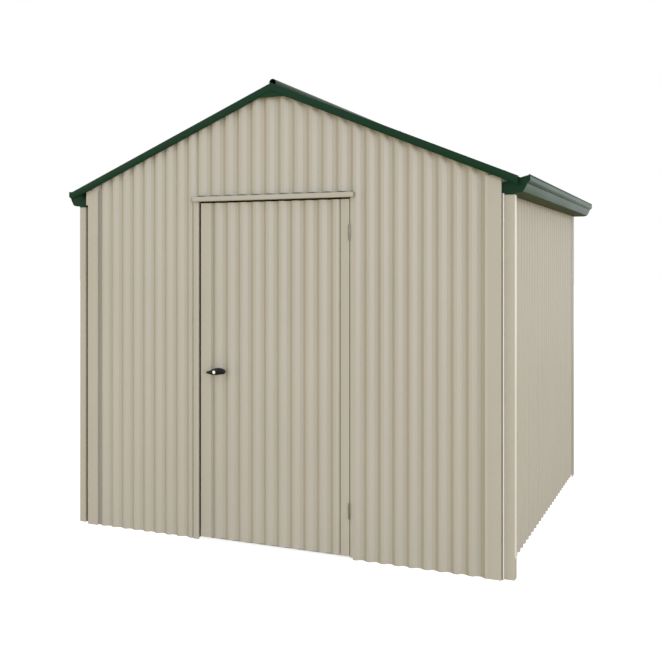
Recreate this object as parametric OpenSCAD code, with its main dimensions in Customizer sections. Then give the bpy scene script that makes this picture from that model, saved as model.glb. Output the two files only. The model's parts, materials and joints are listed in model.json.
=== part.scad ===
// Gabled garden shed in ribbed steel sheet with one hinged door.
// Front faces -Y. X runs across the front, Z is up, ground at Z = 0.

/* [Body] */
// crest plane of each side wall, from the centre line
side_x = 1215; // [1000:5:1600]
// front crest plane to back crest plane
body_l = 2356; // [1800:2:4000]
// roof pitch, degrees
pitch_deg = 22.47; // [10:0.01:35]
// barge top edge at the ridge
ridge_z = 2447.5; // [2200:0.5:2800]
// height of the side sheets' lower edge
side_bottom_z = 17; // [0:1:60]

/* [Sheet] */
// depth of the ribs
rib_d = 15; // [8:0.5:30]
// flat width of a crest, part of the pitch
crest_w = 0.223; // [0.1:0.001:0.4]
// flat width of a groove, part of the pitch
groove_w = 0.262; // [0.1:0.001:0.4]
// sheet thickness
sheet_t = 1.5; // [0.8:0.1:4]
// rib pitch, front sheet left of the door
rib_left = 72.21; // [60:0.01:90]
// rib pitch, front sheet right of the door
rib_right = 74.83; // [60:0.01:90]
// rib pitch, gable sheet over the door
rib_gable = 82.29; // [60:0.01:90]
// rib pitch, door sheet
rib_door = 76.81; // [60:0.01:90]
// rib pitch, side, back and roof sheets
rib_std = 76.2; // [60:0.1:90]

/* [Door] */
// left edge of the leaf
leaf_x0 = -437; // [-600:1:-300]
// right edge of the leaf
leaf_x1 = 433; // [300:1:600]
// lower edge of the leaf
leaf_z0 = 10; // [5:1:30]
// upper edge of the leaf
leaf_z1 = 1829; // [1600:1:2000]
// width of the flat band on the lock side
stile_l = 63; // [30:1:100]
// width of the flat band on the hinge side
stile_r = 44; // [30:1:100]
// depth of the leaf's inner frame
leaf_frame_d = 25; // [15:1:40]

/* [Doorway] */
// left reveal face
jamb_x0 = -450; // [-620:1:-320]
// right reveal face
jamb_x1 = 438.5; // [320:0.5:620]
// underside of the head
head_z = 1838; // [1600:1:2050]
// height of the head flashing
head_h = 24.5; // [15:0.5:60]
// how far the head flashing stands out
head_out = 24; // [5:1:50]
// how far the jamb trims stand out
jamb_out = 10; // [2:1:30]

/* [Hinges] */
// hinge axis, across
hinge_x = 435.5; // [300:0.5:620]
// hinge axis, in depth
hinge_y = -4; // [-15:0.5:10]
// centre heights of the two hinges
hinge_zs = [246, 1660]; // [100:1:1800]
// knuckle length
hinge_h = 80; // [40:1:150]
// knuckle radius
hinge_r = 4; // [3:0.5:8]
// pin radius
pin_r = 2; // [1:0.1:4]
// radial clearance at the pin
pin_gap = 0.05; // [0.01:0.01:0.1]

/* [Lock] */
// spindle axis, across
lock_x = -328; // [-420:1:-200]
// spindle axis height
lock_z = 919; // [700:1:1200]
// how far the grip stands out
grip_out = 48; // [30:1:80]
// length of the tongue
tongue_l = 58; // [30:1:62]

/* [Eaves] */
// gutter start behind the front crest plane
gutter_y0 = 18; // [0:1:60]
// gutter sheet thickness
gutter_t = 1.5; // [0.8:0.1:4]
// downpipe width
pipe_w = 49; // [30:1:80]
// downpipe depth
pipe_h = 50; // [30:1:80]
// downpipe face behind the front crest plane
pipe_y0 = 24; // [0:1:80]
// downpipe inner side, from the centre line
pipe_x0 = 1219; // [1000:1:1700]
// left downpipe's inner side, from the centre line
pipe_left_x0 = 1227; // [1000:1:1700]
// downpipe wall
pipe_t = 2; // [1:0.1:4]

/* [Roof edge] */
// barge face in front of the crest plane
barge_out = 25; // [10:1:60]
// height of the barge face
barge_h = 43; // [25:1:90]
// barge end, from the centre line
barge_x = 1290; // [1100:1:1700]
// roof sheet end, from the centre line
eave_x = 1270; // [1100:1:1700]
// strip thickness
strip_t = 2; // [1:0.1:4]

/* [Frame] */
// width of the steel bars
bar = 40; // [20:1:80]
// height of the mid girts
girt_z = 960; // [500:5:1500]

/* [Hidden] */
m = tan(pitch_deg);
inner = rib_d + 1.6;
roof_z = ridge_z - strip_t;
under_z = roof_z - inner / cos(pitch_deg) - 0.2;
grip_front = grip_out;
y_shift = -(body_l + barge_out - grip_front) / 2;
wall_x = 1175;
gap_l = -468;
gap_r = 453.5;
gable_z0 = head_z + head_h + 8;
back_y = body_l;
frame_x = side_x - inner;
flash_z = 1922;

function unit(a, b) = (b - a) / norm(b - a);
function nrm(a, b) = let (u = unit(a, b)) [-u[1], u[0]];
function inset(p, i, t) =
    let (n = len(p) - 1,
         a = i > 0 ? nrm(p[i - 1], p[i]) : nrm(p[0], p[1]),
         b = i < n ? nrm(p[i], p[i + 1]) : nrm(p[n - 1], p[n]))
    p[i] + (a + b) * t / (1 + a * b);
function band(p, t) = concat(p, [for (i = [len(p) - 1 : -1 : 0]) inset(p, i, t)]);

// outer face of a ribbed sheet: 0 at a crest, rib_d at a groove
c_edge = crest_w / 2;
g_edge = (1 - groove_w) / 2;
function from_crest(x, xc, p) = abs((x - xc) / p - round((x - xc) / p));
function rib(x, xc, p) = rib_d * min(1, max(0, (from_crest(x, xc, p) - c_edge) / (g_edge - c_edge)));
function rib_path(x0, x1, xc, p) =
    concat([[x0, rib(x0, xc, p)]],
           [for (k = [floor((x0 - xc) / p) : ceil((x1 - xc) / p)], o = [-g_edge, -c_edge, c_edge, g_edge])
               let (x = xc + (k + o) * p) if (x > x0 + 0.5 && x < x1 - 0.5) [x, rib(x, xc, p)]],
           [[x1, rib(x1, xc, p)]]);

module ribbed(x0, x1, xc, p, h)
    linear_extrude(height = h) polygon(band(rib_path(x0, x1, xc, p), sheet_t));

// upright prism below the roof underside
module below_roof(z0, gap = 0)
    translate([0, 200, 0]) rotate([90, 0, 0]) linear_extrude(height = 400)
        polygon([[-1300, z0], [1300, z0], [1300, under_z - gap - m * 1300],
                 [0, under_z - gap], [-1300, under_z - gap - m * 1300]]);

module front_sheet(x0, x1, xc, p, z0)
    intersection() {
        translate([0, 0, z0]) ribbed(x0, x1, xc, p, 2500 - z0);
        below_roof(z0 - 1);
    }

// strip shape drawn across and up, run in depth
module run_y(pts, y0, y1)
    translate([0, y1, 0]) rotate([90, 0, 0]) linear_extrude(height = y1 - y0) polygon(pts);

// strip shape drawn in depth and up, run across
module run_x(pts, x0, x1)
    translate([x0, 0, 0]) rotate([90, 0, 90]) linear_extrude(height = x1 - x0) polygon(pts);

module block(a, b) translate(a) cube(b - a);

module place() translate([0, y_shift, 0]) children();
module other_side() mirror([1, 0, 0]) children();
module other_end() translate([0, body_l, 0]) mirror([0, 1, 0]) children();

cream = [0.77, 0.74, 0.66];
green = [0.08, 0.2, 0.14];
steel = [0.6, 0.61, 0.62];
black = [0.05, 0.05, 0.05];

// ---- walls ----
module front_wall_left() color(cream) place()
    front_sheet(-wall_x, gap_l, -1082.5, rib_left, 0);
module front_wall_right() color(cream) place()
    front_sheet(gap_r, wall_x, 461.8, rib_right, 0);
module front_gable() color(cream) place()
    front_sheet(gap_l + 1.2, gap_r - 1.2, -27, rib_gable, gable_z0);
module back_wall() color(cream) place() other_end()
    front_sheet(-wall_x, wall_x, 0, rib_std, 0);
module right_wall() color(cream) place()
    translate([side_x, 0, side_bottom_z]) rotate([0, 0, 90])
        ribbed(41, body_l - 41, body_l / 2, rib_std, under_z - m * side_x - side_bottom_z);
module left_wall() color(cream) place() other_side()
    translate([side_x, 0, side_bottom_z]) rotate([0, 0, 90])
        ribbed(41, body_l - 41, body_l / 2, rib_std, under_z - m * side_x - side_bottom_z);

// ---- corner flashings ----
edge_x = side_x + strip_t;
plain_path = [[1131, -strip_t], [1190, -strip_t], [edge_x, 39], [edge_x, 95]];
front_leg = [[1131, -strip_t], [1204, -strip_t]];
slotted_path = concat(front_leg, [[1204.5, 16], [1211.5, 16], [1213, 2.5], [edge_x, 7], [edge_x, 95]]);
closed_path = concat(front_leg, [[1204.5, 14], [1205.5, 21], [edge_x, 32], [edge_x, 95]]);
square_path = [[1131, -strip_t], [1205, -strip_t], [edge_x, 10], [edge_x, 95]];
module corner(path, h = flash_z) linear_extrude(height = h) polygon(band(path, strip_t));
module corner_front_right() color(cream) place() {
    corner(slotted_path, 1834);
    translate([0, 0, 1834]) corner(closed_path, flash_z - 1834);
}
module corner_front_left() color(cream) place() other_side() {
    corner(plain_path);
    block([1188, -strip_t, 1838], [1202, 0, flash_z]);
}
module corner_back_right() color(cream) place() other_end() corner(square_path);
module corner_back_left() color(cream) place() other_end() other_side() corner(square_path);

// ---- doorway ----
module door_jamb_left() color(cream) place()
    linear_extrude(height = head_z) {
        polygon(band([[-478, -jamb_out], [-460, -jamb_out], [jamb_x0, 4 - jamb_out], [jamb_x0, 6]], strip_t));
        polygon(band([[-491, 60], [-463, 60], [-463, 1 - jamb_out]], -strip_t));
    }
module door_jamb_right() color(cream) place()
    translate([0, 0, 12]) linear_extrude(height = head_z - 12)
        polygon(band([[467, sheet_t + 0.2], [jamb_x1, sheet_t + 0.2], [jamb_x1, 60], [481, 60]], -strip_t));
module head_strip(x0, x1, y1)
    run_x(band([[y1, head_z], [-head_out, head_z], [-head_out, head_z + head_h],
                [y1, head_z + head_h + (y1 + head_out) / 10]], -strip_t), x0, x1);
module door_head() color(cream) place() {
    head_strip(-477, 464, -0.3);
    head_strip(gap_l + 1.2, gap_r - 1.2, inner);
    block([-477, inner, head_z], [464, inner + bar, head_z + 60]);
}

// ---- roof ----
module roof_side()
    translate([eave_x, 0, roof_z - m * eave_x]) rotate([0, -(90 - pitch_deg), 0]) rotate([0, 0, 90])
        ribbed(-20, body_l + 20, body_l / 2, rib_std, (eave_x - 8) / cos(pitch_deg));
module roof_right() color(green) place() roof_side();
module roof_left() color(green) place() other_side() roof_side();

roll = 19.4;
cap_z = ridge_z + 2.3;
roll_pts = [[15.5, cap_z - m * 15.5], for (a = [0 : 45 : 180]) [roll * cos(a), ridge_z + 5.6 + roll * sin(a)],
            [-15.5, cap_z - m * 15.5]];
module ridge_cap() color(green) place()
    run_y(band(concat([[130, cap_z - m * 130]], roll_pts, [[-130, cap_z - m * 130]]), strip_t),
          -2, body_l + 2);

module slope_band(x0, x1, a, b, y0, y1)
    run_y([[x0, a - m * x0], [x1, a - m * x1], [x1, b - m * x1], [x0, b - m * x0]], y0, y1);
module barge() {
    slope_band(0, barge_x, ridge_z - barge_h, ridge_z, -barge_out, -barge_out + strip_t);
    slope_band(0, barge_x, ridge_z - strip_t, ridge_z, -barge_out, 20);
    slope_band(80, barge_x, ridge_z - barge_h, ridge_z - barge_h + strip_t, -barge_out, -12);
}
module barge_front_right() color(green) place() barge();
module barge_front_left() color(green) place() other_side() barge();
module barge_back_right() color(green) place() other_end() barge();
module barge_back_left() color(green) place() other_end() other_side() barge();

module apex() {
    run_y([[-77, ridge_z - barge_h - m * 77], [77, ridge_z - barge_h - m * 77], [0, ridge_z - barge_h]],
          -barge_out, -barge_out + strip_t);
    run_y([[-77, ridge_z - barge_h - m * 77], [77, ridge_z - barge_h - m * 77],
           [77, ridge_z - 6 - m * 77], [0, ridge_z - 6], [-77, ridge_z - 6 - m * 77]],
          -barge_out + strip_t, -barge_out + 2 * strip_t);
}
module apex_plate_front() color(green) place() apex();
module apex_plate_back() color(green) place() other_end() apex();

// ---- gutters and downpipes ----
gx = side_x + strip_t;
gutter_z = 1836;
lip_z = 1920;
gutter_out = [[1342, lip_z], [1341.5, 1891], [1327, 1880], [1318, 1860], [1308, 1843], [1296, 1837.5], [1284, gutter_z]];
gutter_path = concat([[1333, lip_z]], gutter_out, [[gx, gutter_z], [gx, 1881.5]]);
function gutter_end(x) = concat(gutter_out, [[x, gutter_z], [x, 1885]]);
px1 = pipe_x0 + pipe_w;
py1 = pipe_y0 + pipe_h;
module gutter(front_cap, x0) {
    difference() {
        union() {
            run_y(band(gutter_path, -gutter_t), gutter_y0, body_l - gutter_y0);
            run_y(gutter_end(front_cap), gutter_y0, gutter_y0 + gutter_t);
            run_y(gutter_end(gx), body_l - gutter_y0 - gutter_t, body_l - gutter_y0);
            block([gx + 0.5, pipe_y0 - 2, 1828], [px1 + 2, py1 + 2, gutter_z]);
        }
        block([x0 + 4, pipe_y0 + 5, 1820], [px1 - 4, py1 - 4, 1850]);
    }
}
module gutter_right() color(green) place() gutter(1207, pipe_x0);
module gutter_left() color(green) place() other_side() gutter(gx, pipe_left_x0);

function wrap(p, i) = p[(i + len(p)) % len(p)];
function ring_in(p, t) =
    [for (i = [0 : len(p) - 1])
        let (a = nrm(wrap(p, i - 1), p[i]), b = nrm(p[i], wrap(p, i + 1))) p[i] + (a + b) * t / (1 + a * b)];
function pipe_ring(x0) =
    [[x0 + 6, pipe_y0], [px1 - 6, pipe_y0], [px1, pipe_y0 + 6], [px1, py1 - 6], [px1 - 6, py1],
     [x0 + 6, py1], [x0, py1 - 6], [x0, pipe_y0 + 6]];
module downpipe(x0) {
    linear_extrude(height = 1828) difference() {
        polygon(pipe_ring(x0));
        polygon(ring_in(pipe_ring(x0), pipe_t));
    }
    for (z = [300, 1500]) block([gx, pipe_y0 + 21, z], [x0 + 1, py1 - 8, z + 25]);
}
module downpipe_right() color(cream) place() downpipe(pipe_x0);
module downpipe_left() color(cream) place() other_side() downpipe(pipe_left_x0);

// ---- inner frame ----
function rail_path(o) = [[o, 62], [o, 42], [o - 19, 42], [o - 19, 0], [o - 58, 0]];
module base_rail_right() color(steel) place()
    run_y(band(rail_path(frame_x), -strip_t), inner + 20, body_l - inner - 20);
module base_rail_left() color(steel) place() other_side()
    run_y(band(rail_path(frame_x), -strip_t), inner + 20, body_l - inner - 20);
front_rail = [for (p = rail_path(0)) [inner - p[0], p[1]]];
module base_rail_front_left() color(steel) place()
    run_x(band(front_rail, strip_t), -(frame_x - 60), -492);
module base_rail_front_right() color(steel) place()
    run_x(band(front_rail, strip_t), 482, frame_x - 60);
module base_rail_back() color(steel) place() other_end()
    run_x(band(front_rail, strip_t), -(frame_x - 60), frame_x - 60);
module top_plate_right() color(steel) place()
    block([frame_x - bar, inner + 20, 1878], [frame_x, body_l - inner - 20, 1918]);
module top_plate_left() color(steel) place() other_side()
    block([frame_x - bar, inner + 20, 1878], [frame_x, body_l - inner - 20, 1918]);
module mid_girt_right() color(steel) place()
    block([frame_x - bar / 2, inner + 20, girt_z], [frame_x, body_l - inner - 20, girt_z + bar]);
module mid_girt_left() color(steel) place() other_side()
    block([frame_x - bar / 2, inner + 20, girt_z], [frame_x, body_l - inner - 20, girt_z + bar]);
module mid_girt_back() color(steel) place() other_end()
    block([-(frame_x - bar / 2), inner, girt_z], [frame_x - bar / 2, inner + bar / 2, girt_z + bar]);
module ridge_beam() color(steel) place()
    run_y([[-20, under_z - 70], [20, under_z - 70], [20, under_z - m * 20], [0, under_z],
           [-20, under_z - m * 20]], inner, body_l - inner);

// ---- hinges: two outer knuckles and the pin are fixed, the middle one moves ----
module barrel(z0, z1, r) translate([hinge_x, hinge_y, z0]) cylinder(h = z1 - z0, r = r, $fn = 32);
module hinge_fixed(zc) {
    z = zc - hinge_h / 2;
    for (a = [[0, 26], [54, 80]]) {
        barrel(z + a[0], z + a[1], hinge_r);
        block([jamb_x1 - 2, hinge_y, z + a[0]], [jamb_x1, 20, z + a[1]]);
    }
    block([jamb_x1 - 2, 3, z], [jamb_x1, 35, z + hinge_h]);
    barrel(z, z + hinge_h, pin_r);
}
module hinge_moving(zc) {
    z = zc - hinge_h / 2;
    difference() {
        union() {
            barrel(z + 27, z + 53, hinge_r);
            block([leaf_x1, hinge_y, z + 27], [leaf_x1 + 2, 20, z + 53]);
            block([leaf_x1, 3, z], [leaf_x1 + 2, 35, z + hinge_h]);
        }
        barrel(z + 20, z + 60, pin_r + pin_gap);
    }
}
module hinge_lower_fixed() color(steel) place() hinge_fixed(hinge_zs[0]);
module hinge_upper_fixed() color(steel) place() hinge_fixed(hinge_zs[1]);
module hinge_lower_moving() color(steel) place() hinge_moving(hinge_zs[0]);
module hinge_upper_moving() color(steel) place() hinge_moving(hinge_zs[1]);

// ---- door ----
skin_x0 = leaf_x0 + stile_l;
skin_x1 = leaf_x1 - stile_r;
door_path = concat([[leaf_x0, rib_d], [leaf_x0, 0], [skin_x0, 0]],
                   rib_path(skin_x0 + 2, skin_x1 - 2, -337.7, rib_door),
                   [[skin_x1, 0], [leaf_x1, 0], [leaf_x1, rib_d]]);
module door_sheet() color(cream) place() difference() {
    translate([0, 0, leaf_z0]) linear_extrude(height = leaf_z1 - leaf_z0)
        polygon(band(door_path, sheet_t));
    translate([lock_x, 60, lock_z]) rotate([90, 0, 0]) cylinder(h = 80, r = 12, $fn = 48);
}
fy = inner + leaf_frame_d;
module door_frame() color(steel) place() difference() {
    block([leaf_x0, inner, leaf_z0], [leaf_x1, fy, leaf_z1]);
    block([leaf_x0 + 37, inner - 1, leaf_z0 + 37], [leaf_x1 - 37, fy + 1, 1020]);
    block([leaf_x0 + 37, inner - 1, 1057], [leaf_x1 - 37, fy + 1, leaf_z1 - 37]);
}

// ---- lock and handle ----
module rod(y0, y1, r) translate([lock_x, y1, lock_z]) rotate([90, 0, 0]) cylinder(h = y1 - y0, r = r, $fn = 48);
module door_lock() color(black) place() difference() {
    union() {
        rod(-6, 0, 16);
        rod(-1, 32, 12);
    }
    rod(-10, 40, 8 + pin_gap);
}
grip_pts = [[-54, -3], [-52, -8.2], [-38, -11], [-25, -13], [-2, -16], [15, -14.5], [32, -11.5], [52, -8.4],
            [60, -5], [65, 0], [65, 9], [60, 16], [50, 21], [31, 24], [12, 23], [-2, 20.5], [-12, 16.5],
            [-25, 10], [-38, 5.4], [-52, 0.5]];
module door_handle() color(black) place() {
    translate([lock_x, -grip_out + 18, lock_z]) rotate([90, 0, 0]) linear_extrude(height = 18) polygon(grip_pts);
    rod(-grip_out + 18, -7, 13);
    rod(-grip_out + 18, 40, 8);
    translate([lock_x - tongue_l, 37, lock_z - 10]) cube([tongue_l, 3, 20]);
}

front_wall_left();
front_wall_right();
front_gable();
left_wall();
right_wall();
back_wall();
corner_front_left();
corner_front_right();
corner_back_left();
corner_back_right();
door_jamb_left();
door_jamb_right();
door_head();
roof_left();
roof_right();
ridge_cap();
barge_front_left();
barge_front_right();
barge_back_left();
barge_back_right();
apex_plate_front();
apex_plate_back();
gutter_left();
gutter_right();
downpipe_left();
downpipe_right();
base_rail_left();
base_rail_right();
base_rail_back();
base_rail_front_left();
base_rail_front_right();
top_plate_left();
top_plate_right();
mid_girt_left();
mid_girt_right();
mid_girt_back();
ridge_beam();
hinge_lower_fixed();
hinge_upper_fixed();
door_sheet();
door_frame();
hinge_lower_moving();
hinge_upper_moving();
door_lock();
door_handle();
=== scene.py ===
import json
import math
import bmesh
import bpy
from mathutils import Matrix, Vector


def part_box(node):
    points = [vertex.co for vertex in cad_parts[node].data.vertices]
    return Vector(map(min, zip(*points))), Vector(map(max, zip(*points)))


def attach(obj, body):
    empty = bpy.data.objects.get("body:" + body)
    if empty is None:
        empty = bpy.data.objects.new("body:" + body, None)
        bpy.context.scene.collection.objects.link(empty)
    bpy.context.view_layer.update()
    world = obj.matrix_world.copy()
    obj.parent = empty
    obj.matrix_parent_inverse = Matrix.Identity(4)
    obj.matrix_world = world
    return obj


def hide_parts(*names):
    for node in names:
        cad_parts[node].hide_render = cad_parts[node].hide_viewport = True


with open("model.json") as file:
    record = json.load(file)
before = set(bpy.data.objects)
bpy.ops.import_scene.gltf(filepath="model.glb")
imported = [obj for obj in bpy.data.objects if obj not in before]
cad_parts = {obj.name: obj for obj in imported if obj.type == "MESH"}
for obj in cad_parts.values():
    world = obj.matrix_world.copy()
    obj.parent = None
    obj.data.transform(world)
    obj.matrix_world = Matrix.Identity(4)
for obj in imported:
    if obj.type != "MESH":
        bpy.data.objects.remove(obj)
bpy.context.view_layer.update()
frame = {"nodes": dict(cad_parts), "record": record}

# Every number below is in millimetres, depth measured inwards from the front crest plane.
Y0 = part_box("front_wall_left")[0].y * 1000
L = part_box("back_wall")[1].y * 1000 - Y0                  # front to back crest plane
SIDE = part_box("right_wall")[1].x * 1000                   # side crest plane
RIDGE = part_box("barge_front_right")[1].z * 1000           # barge top edge at the ridge
PITCH = math.radians(22.47)
M, COS, SIN = math.tan(PITCH), math.cos(PITCH), math.sin(PITCH)
ROOF = RIDGE - 2.0                                        # roof crest plane at the centre line
RIB_D = 15.0
UNDER = ROOF - (RIB_D + 1.6) / COS - 0.2                  # underside of the roof at the centre line
CAP = RIDGE + 2.3
CREST, GROOVE = 0.1115, 0.369                             # crest edge and groove edge, part of a pitch
T = 1.2                                                   # sheet, as drawn


# ---------------------------------------------------------------- materials
def new_mat(name):
    m = bpy.data.materials.new(name)
    m.use_nodes = True
    nt = m.node_tree
    return m, nt, nt.nodes["Principled BSDF"]


def node(nt, kind, **kw):
    n = nt.nodes.new(kind)
    for k, v in kw.items():
        setattr(n, k, v)
    return n


def paint(name, base, tint, rough, spec=0.5, coat=0.0, bump=0.0003, scale=1.0, metal=0.0, streak=0.5):
    """Baked paint on steel: faint cloudy tone, fine orange peel, soft vertical streaks, roughness that varies a little."""
    m, nt, bsdf = new_mat(name)
    tc = node(nt, "ShaderNodeTexCoord")
    cloud = node(nt, "ShaderNodeTexNoise")
    cloud.inputs["Scale"].default_value = 1.6 * scale
    cloud.inputs["Detail"].default_value = 5.0
    cloud.inputs["Roughness"].default_value = 0.55
    mp = node(nt, "ShaderNodeMapping")
    mp.inputs["Scale"].default_value = (22.0, 22.0, 0.9)
    run = node(nt, "ShaderNodeTexNoise")
    run.inputs["Scale"].default_value = 1.0
    run.inputs["Detail"].default_value = 3.0
    nt.links.new(tc.outputs["Object"], cloud.inputs["Vector"])
    nt.links.new(tc.outputs["Object"], mp.inputs["Vector"])
    nt.links.new(mp.outputs["Vector"], run.inputs["Vector"])
    addn = node(nt, "ShaderNodeMath", operation="MULTIPLY_ADD")
    addn.inputs[1].default_value = streak
    nt.links.new(run.outputs["Fac"], addn.inputs[0])
    nt.links.new(cloud.outputs["Fac"], addn.inputs[2])
    ramp = node(nt, "ShaderNodeValToRGB")
    ramp.color_ramp.elements[0].position = 0.45
    ramp.color_ramp.elements[0].color = (*tint, 1)
    ramp.color_ramp.elements[1].position = 1.0
    ramp.color_ramp.elements[1].color = (*base, 1)
    nt.links.new(addn.outputs["Value"], ramp.inputs["Fac"])
    nt.links.new(ramp.outputs["Color"], bsdf.inputs["Base Color"])
    fine = node(nt, "ShaderNodeTexNoise")
    fine.inputs["Scale"].default_value = 420.0 * scale
    fine.inputs["Detail"].default_value = 2.0
    nt.links.new(tc.outputs["Object"], fine.inputs["Vector"])
    rr = node(nt, "ShaderNodeMapRange")
    rr.inputs["To Min"].default_value = rough - 0.05
    rr.inputs["To Max"].default_value = rough + 0.07
    nt.links.new(cloud.outputs["Fac"], rr.inputs["Value"])
    nt.links.new(rr.outputs["Result"], bsdf.inputs["Roughness"])
    bp = node(nt, "ShaderNodeBump")
    bp.inputs["Strength"].default_value = 0.2
    bp.inputs["Distance"].default_value = bump
    nt.links.new(fine.outputs["Fac"], bp.inputs["Height"])
    nt.links.new(bp.outputs["Normal"], bsdf.inputs["Normal"])
    bsdf.inputs["Metallic"].default_value = metal
    bsdf.inputs["Specular IOR Level"].default_value = spec
    bsdf.inputs["Coat Weight"].default_value = coat
    return m


def zinc(name, base, dark, rough):
    """Galvanised steel: large soft spangle in tone and gloss."""
    m, nt, bsdf = new_mat(name)
    tc = node(nt, "ShaderNodeTexCoord")
    vor = node(nt, "ShaderNodeTexVoronoi")
    vor.inputs["Scale"].default_value = 90.0
    cl = node(nt, "ShaderNodeTexNoise")
    cl.inputs["Scale"].default_value = 7.0
    cl.inputs["Detail"].default_value = 4.0
    for n in (vor, cl):
        nt.links.new(tc.outputs["Object"], n.inputs["Vector"])
    sep = node(nt, "ShaderNodeSeparateColor")
    nt.links.new(vor.outputs["Color"], sep.inputs["Color"])
    mix = node(nt, "ShaderNodeMath", operation="MULTIPLY_ADD")
    mix.inputs[1].default_value = 0.6
    nt.links.new(sep.outputs["Red"], mix.inputs[0])
    nt.links.new(cl.outputs["Fac"], mix.inputs[2])
    ramp = node(nt, "ShaderNodeValToRGB")
    ramp.color_ramp.elements[0].position = 0.3
    ramp.color_ramp.elements[0].color = (*dark, 1)
    ramp.color_ramp.elements[1].position = 1.0
    ramp.color_ramp.elements[1].color = (*base, 1)
    nt.links.new(mix.outputs["Value"], ramp.inputs["Fac"])
    nt.links.new(ramp.outputs["Color"], bsdf.inputs["Base Color"])
    rr = node(nt, "ShaderNodeMapRange")
    rr.inputs["To Min"].default_value = rough - 0.08
    rr.inputs["To Max"].default_value = rough + 0.08
    nt.links.new(sep.outputs["Green"], rr.inputs["Value"])
    nt.links.new(rr.outputs["Result"], bsdf.inputs["Roughness"])
    bp = node(nt, "ShaderNodeBump")
    bp.inputs["Strength"].default_value = 0.2
    bp.inputs["Distance"].default_value = 0.0003
    nt.links.new(cl.outputs["Fac"], bp.inputs["Height"])
    nt.links.new(bp.outputs["Normal"], bsdf.inputs["Normal"])
    bsdf.inputs["Metallic"].default_value = 0.85
    return m


CREAM = paint("cream_baked_paint", (0.407, 0.390, 0.338), (0.388, 0.371, 0.319), 0.40, spec=0.30)
GREEN = paint("green_baked_paint", (0.0045, 0.032, 0.013), (0.0035, 0.027, 0.011), 0.30, spec=0.16)
# painted light and shade: an olive copy of the green paint for the gutter's downward faces, standing in for the shade
# there and the warm light from below
UNDERSIDE_PAINTED_LIGHT = paint("green_underside_painted_light", (0.054, 0.080, 0.038), (0.044, 0.068, 0.032), 0.62, spec=0.10)
# painted light: a greener, less glossy copy of the green paint for the gutter run, so its reflective faces read green
RUN_LIT_GREEN = paint("gutter_face_lit_green", (0.004, 0.050, 0.024), (0.003, 0.042, 0.020), 0.30, spec=0.13)
ZINC = zinc("galvanised_steel", (0.62, 0.64, 0.66), (0.40, 0.42, 0.44), 0.42)
HINGE = zinc("plated_hinge_steel", (0.27, 0.27, 0.21), (0.16, 0.16, 0.12), 0.38)
BLACK = paint("black_enamel", (0.008, 0.0095, 0.0085), (0.005, 0.006, 0.0055), 0.36, spec=0.30, bump=0.0002, scale=3.0)
CHROME = paint("satin_chrome", (0.92, 0.92, 0.95), (0.88, 0.88, 0.92), 0.30, metal=0.25, bump=0.00002, scale=4.0)
# painted highlight: near-white cream standing in for the bright streak of light on the downpipe's outer side and on the
# flashing edge beside it
PAINTED_HIGHLIGHT = paint("painted_highlight_strip", (0.69, 0.675, 0.63), (0.66, 0.645, 0.60), 0.40, spec=0.30)
RUBBER = paint("screw_washer_rubber", (0.03, 0.03, 0.03), (0.02, 0.02, 0.02), 0.7, scale=4.0)

SLOT_MAT = {"cream_steel": CREAM, "green_steel": GREEN, "zinc_steel": ZINC, "black_metal": BLACK}
slot_of = {s["node"]: s["material_slot"] for s in frame["record"]["subparts"]}
for name, obj in frame["nodes"].items():
    mat = HINGE if name.startswith("hinge") else SLOT_MAT[slot_of[name]]
    obj.data.materials.clear()
    obj.data.materials.append(mat)


# ---------------------------------------------------------------- mesh helpers
def make(name, parts, mats, body, smooth=32, replaces=()):
    """One piece from (verts, faces[, material index]) parts, in millimetres from the front crest plane."""
    me = bpy.data.meshes.new(name)
    verts, faces, index = [], [], []
    for part in parts:
        v, f = part[0], part[1]
        k = part[2] if len(part) > 2 else 0
        base = len(verts)
        verts += [(x / 1000, (Y0 + y) / 1000, z / 1000) for x, y, z in v]
        faces += [[i + base for i in g] for g in f]
        index += [k] * len(f)
    me.from_pydata(verts, [], faces)
    mats = mats if isinstance(mats, (list, tuple)) else [mats]
    for m in mats:
        me.materials.append(m)
    for p, k in zip(me.polygons, index):
        p.material_index = k
    bm = bmesh.new()
    bm.from_mesh(me)
    bmesh.ops.recalc_face_normals(bm, faces=bm.faces)
    for f in bm.faces:
        f.smooth = True
    for e in bm.edges:
        if len(e.link_faces) != 2 or e.calc_face_angle(0.0) > math.radians(smooth):
            e.smooth = False
    bm.to_mesh(me)
    bm.free()
    me.validate()
    ob = bpy.data.objects.new(name, me)
    bpy.context.scene.collection.objects.link(ob)
    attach(ob, body)
    if replaces:
        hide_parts(*replaces)
    return ob


def arc_at(a, b, c, r, n):
    """Points of a fillet of radius r at corner b."""
    ax, ay, cx, cy = a[0] - b[0], a[1] - b[1], c[0] - b[0], c[1] - b[1]
    la, lc = math.hypot(ax, ay), math.hypot(cx, cy)
    ax, ay, cx, cy = ax / la, ay / la, cx / lc, cy / lc
    turn = math.pi - math.acos(max(-1.0, min(1.0, ax * cx + ay * cy)))
    if r <= 0 or turn < 0.03:
        return [(b[0], b[1])]
    d = min(r * math.tan(turn / 2), 0.48 * la, 0.48 * lc)
    rr = d / math.tan(turn / 2)
    sx, sy = ax + cx, ay + cy
    sl = math.hypot(sx, sy)
    ox, oy = b[0] + sx / sl * rr / math.cos(turn / 2), b[1] + sy / sl * rr / math.cos(turn / 2)
    a0 = math.atan2(b[1] + ay * d - oy, b[0] + ax * d - ox)
    a1 = math.atan2(b[1] + cy * d - oy, b[0] + cx * d - ox)
    while a1 - a0 > math.pi:
        a1 -= 2 * math.pi
    while a1 - a0 < -math.pi:
        a1 += 2 * math.pi
    return [(ox + rr * math.cos(a0 + (a1 - a0) * i / n), oy + rr * math.sin(a0 + (a1 - a0) * i / n))
            for i in range(n + 1)]


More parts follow.
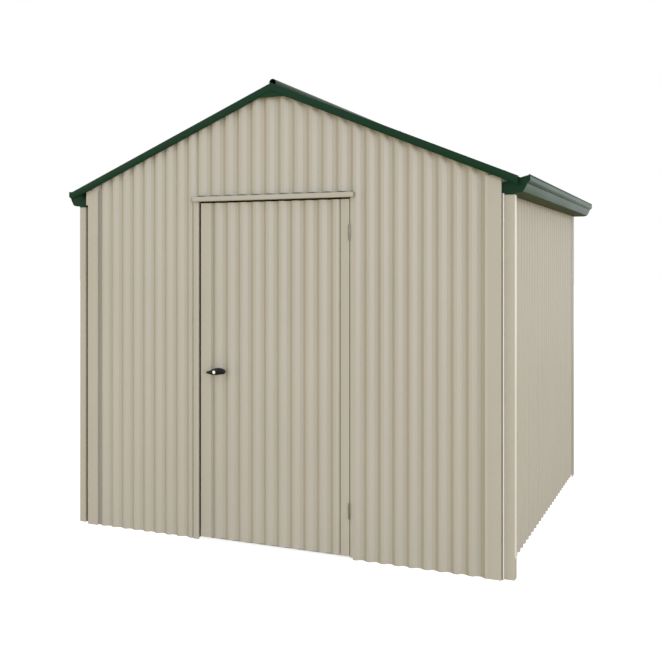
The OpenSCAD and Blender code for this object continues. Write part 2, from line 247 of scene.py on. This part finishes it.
def rounded(pts, r=3.0, n=4, closed=False):
    """Polyline with every corner filleted; a third number on a point is its own radius."""
    out = []
    k = len(pts)
    for i, p in enumerate(pts):
        if not closed and i in (0, k - 1):
            out.append((p[0], p[1]))
            continue
        out += arc_at(pts[i - 1], p, pts[(i + 1) % k], p[2] if len(p) > 2 else r, n)
    return out


def offset(path, t, closed=False):
    n = len(path)
    out = []
    for i, p in enumerate(path):
        ns = []
        for a, b in ((i - 1, i), (i, i + 1)):
            if closed or (0 <= a and b < n):
                dx, dy = path[b % n][0] - path[a][0], path[b % n][1] - path[a][1]
                l = math.hypot(dx, dy)
                ns.append((-dy / l, dx / l))
        if len(ns) == 1:
            nx, ny = ns[0]
        else:
            d = 1 + ns[0][0] * ns[1][0] + ns[0][1] * ns[1][1]
            nx, ny = (ns[0][0] + ns[1][0]) / d, (ns[0][1] + ns[1][1]) / d
        out.append((p[0] + nx * t, p[1] + ny * t))
    return out


def strip(path, t, lo, hi):
    """A folded strip t thick, from placement lo(u, v) to placement hi(u, v)."""
    outline = list(path) + offset(path, t)[::-1]
    n, h = len(outline), len(path)
    verts = [lo(u, v) for u, v in outline] + [hi(u, v) for u, v in outline]
    faces = [[i, (i + 1) % n, n + (i + 1) % n, n + i] for i in range(n)]
    for base in (0, n):
        for i in range(h - 1):
            faces.append([base + i, base + i + 1, base + n - 2 - i, base + n - 1 - i])
    return verts, faces


def tube(ring, t, lo, hi):
    """A hollow closed section, wall t, open at both ends."""
    inner = offset(ring, t, closed=True)
    n = len(ring)
    verts = [f(u, v) for f in (lo, hi) for r in (ring, inner) for u, v in r]
    faces = []
    for i in range(n):
        j = (i + 1) % n
        faces += [[i, j, 2 * n + j, 2 * n + i], [n + i, 3 * n + i, 3 * n + j, n + j],
                  [i, n + i, n + j, j], [2 * n + i, 2 * n + j, 3 * n + j, 3 * n + i]]
    return verts, faces


def plate(outline, lo, hi):
    n = len(outline)
    verts = [lo(u, v) for u, v in outline] + [hi(u, v) for u, v in outline]
    faces = [[i, (i + 1) % n, n + (i + 1) % n, n + i] for i in range(n)]
    return verts, faces + [list(range(n)), list(range(2 * n - 1, n - 1, -1))]


def box(a, b):
    """A bar with eased edges along its longest side."""
    size = [b[i] - a[i] for i in range(3)]
    k = size.index(max(size))
    i, j = [q for q in range(3) if q != k]
    e = min(1.5, 0.3 * min(size[i], size[j]))
    ring = rounded([(a[i], a[j]), (b[i], a[j]), (b[i], b[j]), (a[i], b[j])], r=e, n=2, closed=True)

    def at(level):
        def put(u, v):
            p = [0, 0, 0]
            p[i], p[j], p[k] = u, v, level
            return tuple(p)
        return put
    return plate(ring, at(a[k]), at(b[k]))


def turned(profile, centre, axis, n=24, turn=0.0):
    """A profile of (radius, height) turned round an axis."""
    z = Vector(axis).normalized()
    x = z.orthogonal().normalized()
    y = z.cross(x)
    c = Vector(centre)
    verts, faces = [], []
    for r, h in profile:
        for i in range(n):
            a = 2 * math.pi * i / n + turn
            verts.append(tuple(c + z * h + (x * math.cos(a) + y * math.sin(a)) * r))
    for s in range(len(profile) - 1):
        for i in range(n):
            j = (i + 1) % n
            faces.append([s * n + i, s * n + j, (s + 1) * n + j, (s + 1) * n + i])
    faces.append(list(range(n))[::-1])
    faces.append([(len(profile) - 1) * n + i for i in range(n)])
    return verts, faces


def zlo(z):
    return lambda u, v: (u, v, z)


def xlo(x):
    return lambda u, v: (x, u, v)


def put(part, sx=1, end=0):
    """Mirror a part to the other side, to the other end, or both."""
    v = [(sx * x, L - y if end else y, z) for x, y, z in part[0]]
    return (v,) + tuple(part[1:])


def rib_path(x0, x1, xc, p, r=5.0, rg=3.5, sharp=0.5):
    def rib(x):
        d = abs((x - xc) / p - round((x - xc) / p))
        return RIB_D * min(1.0, max(0.0, (d - CREST) / (GROOVE - CREST)))
    out = [(x0, rib(x0), sharp)]
    for k in range(math.floor((x0 - xc) / p), math.ceil((x1 - xc) / p) + 1):
        for o in (-GROOVE, -CREST, CREST, GROOVE):
            x = xc + (k + o) * p
            if x0 + 0.5 < x < x1 - 0.5:
                out.append((x, rib(x), r if abs(o) == CREST else rg))
    return out + [(x1, rib(x1), sharp)]


def cut_at(path, x):
    out = []
    for a, b in zip(path, path[1:]):
        out.append(a)
        if a[0] < x < b[0]:
            k = (x - a[0]) / (b[0] - a[0])
            out.append((x, a[1] + (b[1] - a[1]) * k))
    return out + [path[-1]]


# ---------------------------------------------------------------- walls
def wall_sheet(name, node_name, x0, x1, xc, p, z0, end=0):
    path = rounded(rib_path(x0, x1, xc, p))
    if x0 < 0 < x1:
        path = cut_at(path, 0.0)
    part = strip(path, T, lambda u, v: (u, v, z0), lambda u, v: (u, v, UNDER - M * abs(u) - 0.4))
    return make(name, [put(part, 1, end)], CREAM, "shell", replaces=(node_name,))


wall_sheet("sheet_front_left", "front_wall_left", -1175, -468, -1082.5, 72.21, 0)
wall_sheet("sheet_front_right", "front_wall_right", 453.5, 1175, 461.8, 74.83, 0)
wall_sheet("sheet_front_gable", "front_gable", -466.8, 452.3, -27, 82.29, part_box("front_gable")[0].z * 1000)
wall_sheet("sheet_back", "back_wall", -1175, 1175, 0, 76.2, 0, end=1)

for side, s in (("right", 1), ("left", -1)):
    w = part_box(side + "_wall")
    path = rounded(rib_path(41, L - 41, L / 2, 76.2))
    part = strip(path, T, lambda u, v: (SIDE - v, u, w[0].z * 1000), lambda u, v: (SIDE - v, u, w[1].z * 1000))
    make("sheet_side_" + side, [put(part, s)], CREAM, "shell", replaces=(side + "_wall",))

# ---------------------------------------------------------------- screws and rivets
HEX = [(4.3, 1.2), (4.3, 5.0), (3.7, 5.8)]
WASHER = [(7.4, 0.0), (7.4, 0.8), (5.2, 1.7)]
RIVET = [(3.3, 0.0), (3.1, 0.7), (2.3, 1.4), (1.0, 1.7)]


def screw(at, axis):
    return [turned(WASHER, at, axis, 14) + (1,), turned(HEX, at, axis, 6) + (0,)]


# ---------------------------------------------------------------- corner flashings
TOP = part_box("corner_front_right")[1].z * 1000
NOSE = 1834.0
RX = SIDE + 2.0
for side, s in (("right", 1), ("left", -1)):
    for where, end in (("front", 0), ("back", 1)):
        lower = []
        if end:
            path = [(1131, -2), (1205, -2, 4), (RX, 10, 4), (RX, 95)]
        elif s > 0:
            leg = [(1131, -6.5), (1144.5, -2, 2), (1208, -2, 1)]
            lower = leg + [(1208.5, 13, 1), (1214.8, 13, 1)]
            path = leg + [(1208, 12, 1), (1207, 21, 2), (RX, 31, 3), (RX, 95)]
        else:
            path = [(1121, -2), (1190, -2, 6), (RX, 39, 10), (RX, 95)]
        parts = [strip(rounded(path, n=6), 1.5, zlo(NOSE if lower else 0), zlo(TOP))]
        if lower:
            parts.append(strip(rounded(lower, n=3), 1.5, zlo(0), zlo(NOSE)))
            # the edge strip beside the right downpipe takes the painted highlight material
            edge = rounded([(1214.8, 13), (1215.8, 2, 0.6), (1218.2, 3.5, 1), (1218.7, 60)], n=3)
            parts.append(strip(edge, 1.5, zlo(0), zlo(NOSE)) + (1,))
        for z in (70, 500, 930, 1360, 1790):
            parts.append(turned(RIVET, (1158, -2, z), (0, -1, 0), 10))
            parts.append(turned(RIVET, (RX, 82, z), (1, 0, 0), 10))
        if s < 0 and not end:
            parts.append(box((1188, -2, 1838), (1202, -0.6, TOP)))
        make(f"flashing_{where}_{side}", [put(q, s, end) for q in parts], [CREAM, PAINTED_HIGHLIGHT], "shell",
             replaces=(f"corner_{where}_{side}",))

# ---------------------------------------------------------------- doorway
HEAD = 1838.0
trim = strip(rounded([(-482, 1), (-481, -5.5, 1.5), (-460, -6.5, 2), (-450, -3.5, 2), (-450, 6)]), 1.5, zlo(0), zlo(HEAD))
reveal = strip(rounded([(-463, -4.8), (-463, 60, 3), (-491, 60)]), 1.5, zlo(0), zlo(HEAD))
make("door_jamb_trim_left", [trim, reveal], CREAM, "shell", replaces=("door_jamb_left",))
path = rounded([(481, 60), (438.5, 60, 3), (438.5, 1.7, 2), (467, 1.7)])
make("door_jamb_trim_right", [strip(path, -1.5, zlo(12), zlo(HEAD))], CREAM, "shell",
     replaces=("door_jamb_right",))


channel = rounded([(-0.3, HEAD), (-24, HEAD, 2.5), (-24, HEAD + 24.5, 3.5), (-0.3, HEAD + 26.87)])
head = [strip(channel, -1.5, xlo(-477), xlo(464)),
        strip([(16.0, HEAD), (-0.3, HEAD)], -1.5, xlo(-466.8), xlo(452.3)),
        strip([(-0.3, HEAD + 26.87), (16.0, HEAD + 28.5)], -1.5, xlo(-466.8), xlo(452.3)),
        tube(rounded([(16.6, HEAD + 2.1), (56.6, HEAD + 2.1), (56.6, HEAD + 60), (16.6, HEAD + 60)], r=3, closed=True),
             2.0, xlo(-477), xlo(464))]
make("door_head_flashing", head, CREAM, "shell", replaces=("door_head",))

# ---------------------------------------------------------------- roof
for side, s in (("right", 1), ("left", -1)):
    path = rounded(rib_path(-20, L + 20, L / 2, 76.2))
    part = strip(path, T, lambda u, v: (8 - v * SIN, u, ROOF - M * 8 - v * COS),
                 lambda u, v: (1270 - v * SIN, u, ROOF - M * 1270 - v * COS))
    make("sheet_roof_" + side, [put(part, s)], GREEN, "shell", replaces=("roof_" + side,))
    heads = []
    for x, lift in ((100, CAP), (640, ROOF), (1185, ROOF)):
        for k in range(-13, 14, 2):
            heads += screw((x, L / 2 + k * 76.2, lift - M * x), (SIN, 0, COS))
    make("roof_screws_" + side, [put(q, s) for q in heads], [GREEN, RUBBER], "shell")

roll = [(19.4 * math.cos(math.radians(a)), RIDGE + 5.6 + 19.4 * math.sin(math.radians(a))) for a in range(-25, 206, 10)]
cap = [(150, CAP - M * 150)] + [(20.5, CAP - M * 20.5)] + roll + [(-20.5, CAP - M * 20.5), (-150, CAP - M * 150)]
make("ridge_roll", [strip(cap, 1.5, lambda u, v: (u, -2, v), lambda u, v: (u, L + 2, v))], GREEN, "shell",
     replaces=("ridge_cap",))

BARGE = rounded([(20, 0), (-25, 0, 3), (-25, -43, 3), (-12, -43)])
for side, s in (("right", 1), ("left", -1)):
    for where, end in (("front", 0), ("back", 1)):
        p = strip(BARGE, 1.8, lambda u, v: (0, u, RIDGE + v), lambda u, v: (1290, u, RIDGE + v - M * 1290))
        make(f"barge_fold_{where}_{side}", [put(p, s, end)], GREEN, "shell",
             replaces=(f"barge_{where}_{side}",))

# ---------------------------------------------------------------- gutters and downpipes
GX = SIDE + 2.0
OGEE = [(1340.7, 1919.5, 1), (1340.7, 1917.5, 0.5), (1336.2, 1916.2, 0.5), (1336.2, 1911.8, 0.5), (1340.4, 1910, 0.8),
        (1340.4, 1892.5, 3), (1330, 1883.2, 1), (1324.5, 1882.5, 0.5), (1325.5, 1876.5, 1), (1318, 1860, 8), (1308, 1843, 6), (1296, 1837.5, 4),
        (1284, 1836, 5)]
run = rounded([(1334.5, 1911), (1334.5, 1919.5, 2)] + OGEE + [(GX, 1836, 3), (GX, 1881.5)], n=3)


def capped(x):
    return rounded([(1340.7, 1919.5, 1.5), (1340.4, 1891, 2), (1327, 1880, 5), (1318, 1860, 8), (1308, 1843, 6),
                    (1296, 1837.5, 4), (1284, 1836, 5), (x, 1836, 2), (x, 1885, 1)], n=3, closed=True)


PX1, PY0, PY1 = 1267.4, 24.0, 74.0
sleeve = rounded([(GX + 0.5, 22), (PX1 + 2, 22), (PX1 + 2, 76), (GX + 0.5, 76)], r=7, n=4, closed=True)
for side, s in (("right", 1), ("left", -1)):
    # the gutter run takes the greener lit copy of the green paint (painted light); the end caps keep the plain green
    parts = [strip(run, 1.3, lambda u, v: (u, 19.2, v), lambda u, v: (u, L - 19.2, v)) + (2,)]
    for a, b, x in ((18.2, 19.6, 1207 if s > 0 else GX), (L - 19.6, L - 18.2, GX)):
        parts.append(plate(capped(x), lambda u, v, y=a: (u, y, v), lambda u, v, y=b: (u, y, v)))
    parts.append(tube(sleeve, 3.0, zlo(1828), zlo(1836.3)))
    ob = make("gutter_run_" + side, [put(q, s) for q in parts], [GREEN, UNDERSIDE_PAINTED_LIGHT, RUN_LIT_GREEN], "shell",
              replaces=("gutter_" + side,))
    # downward faces low on the gutter take the olive copy: painted underside light and shade
    for f in ob.data.polygons:
        if f.normal.z < -0.8 and f.center.z < 1.8395:
            f.material_index = 1
    x0 = {1: 1219.0, -1: 1227.0}[s]
    ring = rounded([(x0, PY0, 1.5 if s > 0 else 6), (PX1, PY0, 2), (PX1, PY1), (x0, PY1)], r=6, n=5, closed=True)
    parts = [tube(ring, 1.6, zlo(0), zlo(1829))]
    for z in (300, 1500):
        parts.append(box((GX, PY0 + 21, z), (x0 + 0.8, PY1 - 8, z + 25)))
    # thin plate on the downpipe's outer side from 100 mm up, in the painted highlight material
    parts.append(box((PX1 - 0.2, PY0 + 4, 100), (PX1 + 0.5, PY1 - 5, 1826)) + (1,))
    make("downpipe_run_" + side, [put(q, s) for q in parts], [CREAM, PAINTED_HIGHLIGHT], "shell",
         replaces=("downpipe_" + side,))

# ---------------------------------------------------------------- door
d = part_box("door_sheet")
X0, X1, Z0, Z1 = d[0].x * 1000, d[1].x * 1000, d[0].z * 1000, d[1].z * 1000
skin = [(X0, 15), (X0, 0, 2.5), (X0 + 63, 0, 1.5)] + rib_path(X0 + 65, X1 - 48, -337.7, 76.81, sharp=1.5) + \
       [(X1 - 46, 0, 1), (X1, 0, 2.5), (X1, 15)]
make("sheet_door", [strip(rounded(skin), T, zlo(Z0 + 6), zlo(Z1))], CREAM, "door", replaces=("door_sheet",))

# ---------------------------------------------------------------- lock and handle
LX, LZ = -328.0, 919.0


def lathe(profile, n=40):
    return turned(profile, (LX, 0, LZ), (0, -1, 0), n)


rose = [(11.9, -32), (11.9, 0.4), (16, 0.4), (16, 3.0), (15.2, 4.7), (13.4, 5.6), (8.6, 5.9)]
make("lock_rose", [lathe(rose)], BLACK, "door", replaces=("door_lock",))

STATIONS = [(-54, -2.5, -6.5, -36, -33), (-52, 0, -8.2, -39, -31.5), (-47, 2.5, -9.5, -41, -30.6),
            (-38, 5.2, -10.8, -43, -30), (-25, 9.8, -12.9, -45.4, -30), (-12, 16.5, -14.8, -46.8, -30),
            (-2, 20.2, -15.8, -47.2, -30), (8, 22, -15.4, -47.6, -30), (20, 23.4, -13.8, -47.9, -30),
            (32, 23.8, -11.6, -48, -30), (43, 22.4, -9.8, -47.8, -30), (52, 19.6, -8.4, -47.4, -30),
            (58, 16.4, -6.6, -46.4, -30), (62, 12.6, -3.6, -44.6, -30.8), (64.5, 8.2, 0.2, -42, -32.5)]
verts, faces = [], []
SEG = 28
for x, top, bot, yf, yb in STATIONS:
    for i in range(SEG):
        a = 2 * math.pi * i / SEG
        c, s_ = math.cos(a), math.sin(a)
        cy = math.copysign(abs(c) ** 0.55, c)
        cz = math.copysign(abs(s_) ** 0.62, s_)
        verts.append((LX + x, (yf + yb) / 2 + (yb - yf) / 2 * cy, LZ + (top + bot) / 2 + (top - bot) / 2 * cz))
for s_ in range(len(STATIONS) - 1):
    for i in range(SEG):
        j = (i + 1) % SEG
        faces.append([s_ * SEG + i, s_ * SEG + j, (s_ + 1) * SEG + j, (s_ + 1) * SEG + i])
faces.append(list(range(SEG))[::-1])
faces.append([(len(STATIONS) - 1) * SEG + i for i in range(SEG)])
neck = lathe([(7.9, -37), (7.9, 6.6), (12.4, 7.0), (13, 8.0), (13, 24), (14, 31)])
tongue = box((LX - 58, 37, LZ - 10), (LX + 9, 40, LZ + 10))
nut = turned([(13.0, 0.0), (13.0, 4.2), (12.0, 5.0), (8.2, 5.0)], (LX, 32.2, LZ), (0, 1, 0), 6)
make("handle_grip", [(verts, faces, 0), neck + (0,), tongue + (1,)], [BLACK, ZINC], "handle",
     smooth=38, replaces=("door_handle",))
barrel = lathe([(9.8, 40), (9.8, 46.4), (9.2, 47.4), (8.4, 47.9), (1.6, 47.9), (1.4, 46.6)], 36)
make("key_cylinder", [barrel + (0,)], [CHROME], "handle", smooth=30)


# ---------------------------------------------------------------- stage, light, camera
def plane(name, size, z, mat):
    me = bpy.data.meshes.new(name)
    s = size / 2
    me.from_pydata([(-s, -s, 0), (s, -s, 0), (s, s, 0), (-s, s, 0)], [], [[0, 1, 2, 3]])
    ob = bpy.data.objects.new(name, me)
    ob.location = (0, 0, z)
    bpy.context.scene.collection.objects.link(ob)
    me.materials.append(mat)
    ob.visible_shadow = False
    return ob


fm, fnt, fb = new_mat("white_floor")
fb.inputs["Base Color"].default_value = (0.60, 0.60, 0.60, 1)
fb.inputs["Roughness"].default_value = 0.9
fb.inputs["Specular IOR Level"].default_value = 0.1
fb.inputs["Emission Color"].default_value = (1, 1, 1, 1)
fb.inputs["Emission Strength"].default_value = 0.80
seen = plane("floor", 120.0, -0.0005, fm)
seen.visible_diffuse = False
seen.visible_glossy = False
gm, gnt, gb = new_mat("grey_floor")
gb.inputs["Base Color"].default_value = (0.88, 0.74, 0.45, 1)
gb.inputs["Roughness"].default_value = 0.9
gb.inputs["Specular IOR Level"].default_value = 0.1
bounce = plane("floor_bounce", 120.0, -0.001, gm)
bounce.visible_camera = False
bounce.visible_glossy = False
dm, dnt, db = new_mat("dark_floor")
db.inputs["Base Color"].default_value = (0.22, 0.22, 0.17, 1)
db.inputs["Roughness"].default_value = 0.9
db.inputs["Specular IOR Level"].default_value = 0.1
mirror = plane("floor_reflected", 120.0, -0.0015, dm)
mirror.location.y = -50.0
mirror.visible_camera = False
mirror.visible_diffuse = False

world = bpy.data.worlds.new("studio")
bpy.context.scene.world = world
world.use_nodes = True
bg = world.node_tree.nodes["Background"]
bg.inputs["Color"].default_value = (1.0, 1.0, 1.0, 1)
bg.inputs["Strength"].default_value = 1.0


def sun(name, azimuth, elevation, angle, power, color=(1, 1, 1)):
    """Distant soft light. Azimuth 0 shines straight at the front, 90 from the right."""
    li = bpy.data.lights.new(name, "SUN")
    li.energy = power
    li.angle = math.radians(angle)
    li.color = color
    ob = bpy.data.objects.new(name, li)
    a, e = math.radians(azimuth), math.radians(elevation)
    away = Vector((math.sin(a) * math.cos(e), -math.cos(a) * math.cos(e), math.sin(e)))
    ob.rotation_euler = away.to_track_quat("Z", "Y").to_euler()
    ob.location = away * 12
    bpy.context.scene.collection.objects.link(ob)
    return ob


sun("key", 50, 6, 26, 1.16, (0.94, 0.98, 1.13))
sun("under", 50, -30, 40, 0.39, (0.94, 0.98, 1.13))
sun("left_fill", -53, 8, 14, 0.20, (1.0, 0.86, 0.55))

cam_data = bpy.data.cameras.new("camera")
cam_data.sensor_width = 36.0
cam_data.lens = 49.26
cam_data.shift_y = -0.1002
cam = bpy.data.objects.new("camera", cam_data)
cam.location = (2.137, Y0 / 1000 - 4.25, 1.4995)
cam.rotation_euler = (math.radians(90), 0, math.radians(23.0622))
bpy.context.scene.collection.objects.link(cam)
bpy.context.scene.camera = cam
bpy.context.scene.view_settings.view_transform = "Standard"
